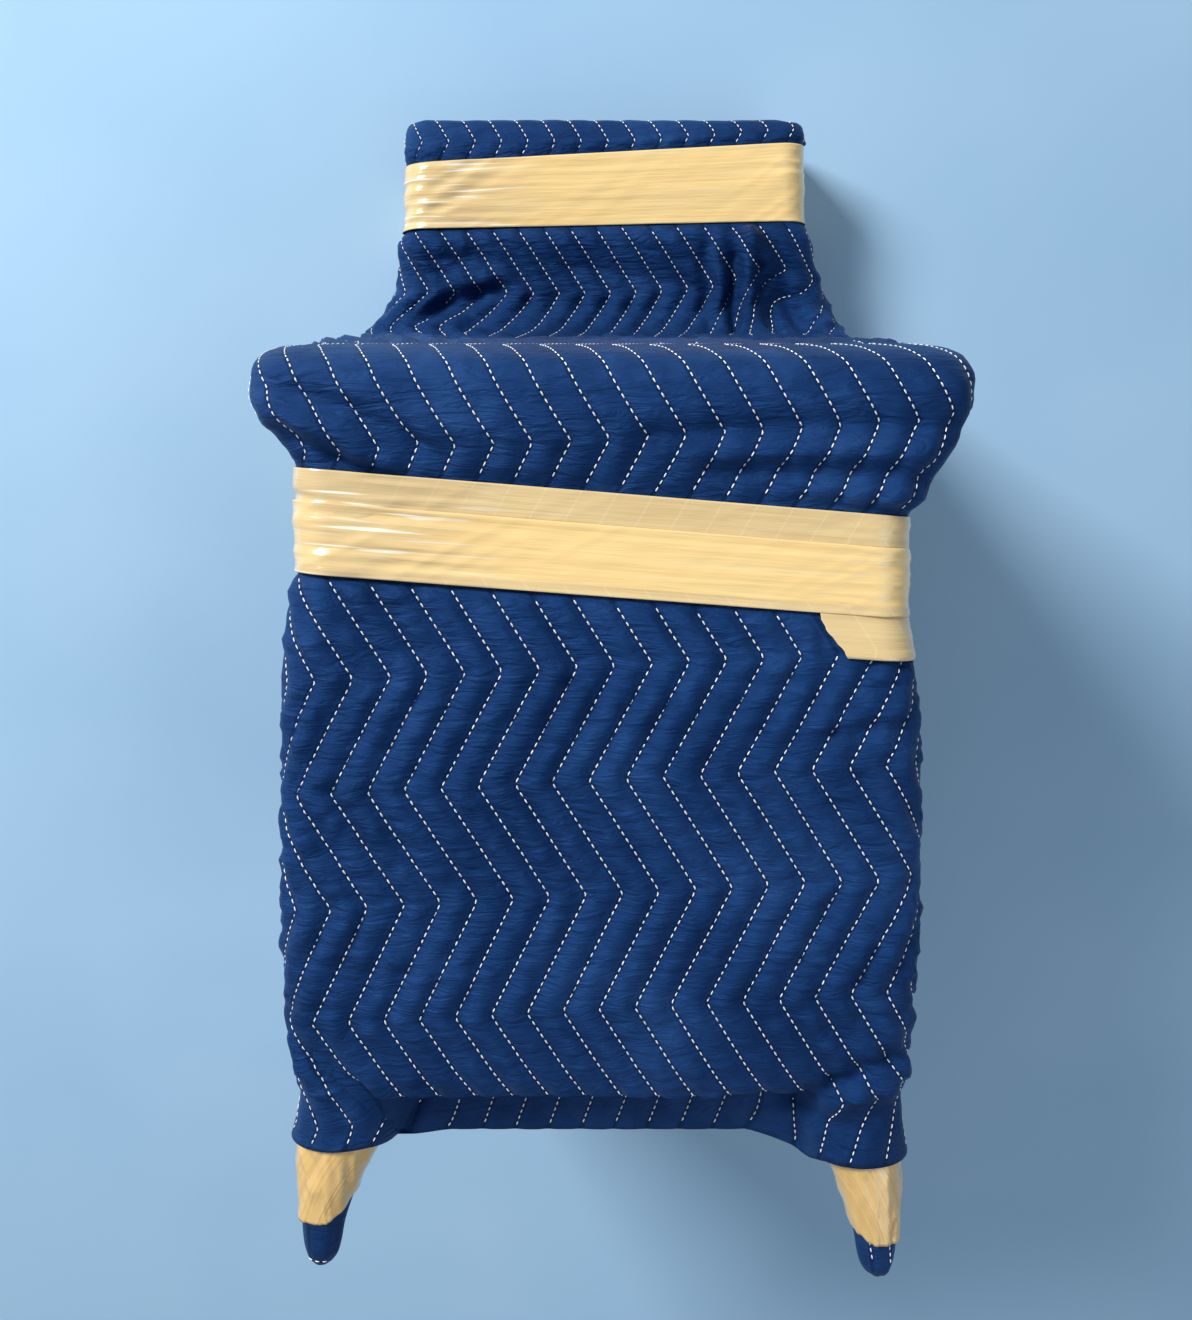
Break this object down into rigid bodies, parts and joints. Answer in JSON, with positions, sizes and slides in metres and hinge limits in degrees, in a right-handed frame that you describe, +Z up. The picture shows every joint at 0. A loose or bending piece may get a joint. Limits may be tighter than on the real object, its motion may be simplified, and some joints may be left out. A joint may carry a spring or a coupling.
{
  "type": "quilted moving blanket wrapped as a cover round a bar stool",
  "caption": "Hollow quilted cloth cover, drawn in by tape at the back, the waist and the leg tips, open between the legs.",
  "frame": {"origin": "under the front panel, where the cover bears on the front edge of the stool's seat, at the middle of its width", "axes": "+X to the right as seen from the front, +Y from the feet towards the backrest, +Z up, out of the front panel; the cover lies on its back"},
  "size_m": [0.5224, 1.001, 0.563],
  "materials": {
    "navy_quilt": "soft quilted cotton blend, matt with a slight sheen",
    "tan_tape": "glossy tan film, slightly see-through"
  },
  "bodies": {
    "root": {"blanket": "navy_quilt", "tape_back": "tan_tape", "tape_waist_first": "tan_tape", "tape_waist_second": "tan_tape", "tape_leg_front_left": "tan_tape", "tape_leg_front_right": "tan_tape", "tape_leg_rear_left": "tan_tape", "tape_leg_rear_right": "tan_tape"}
  },
  "joints": []
}
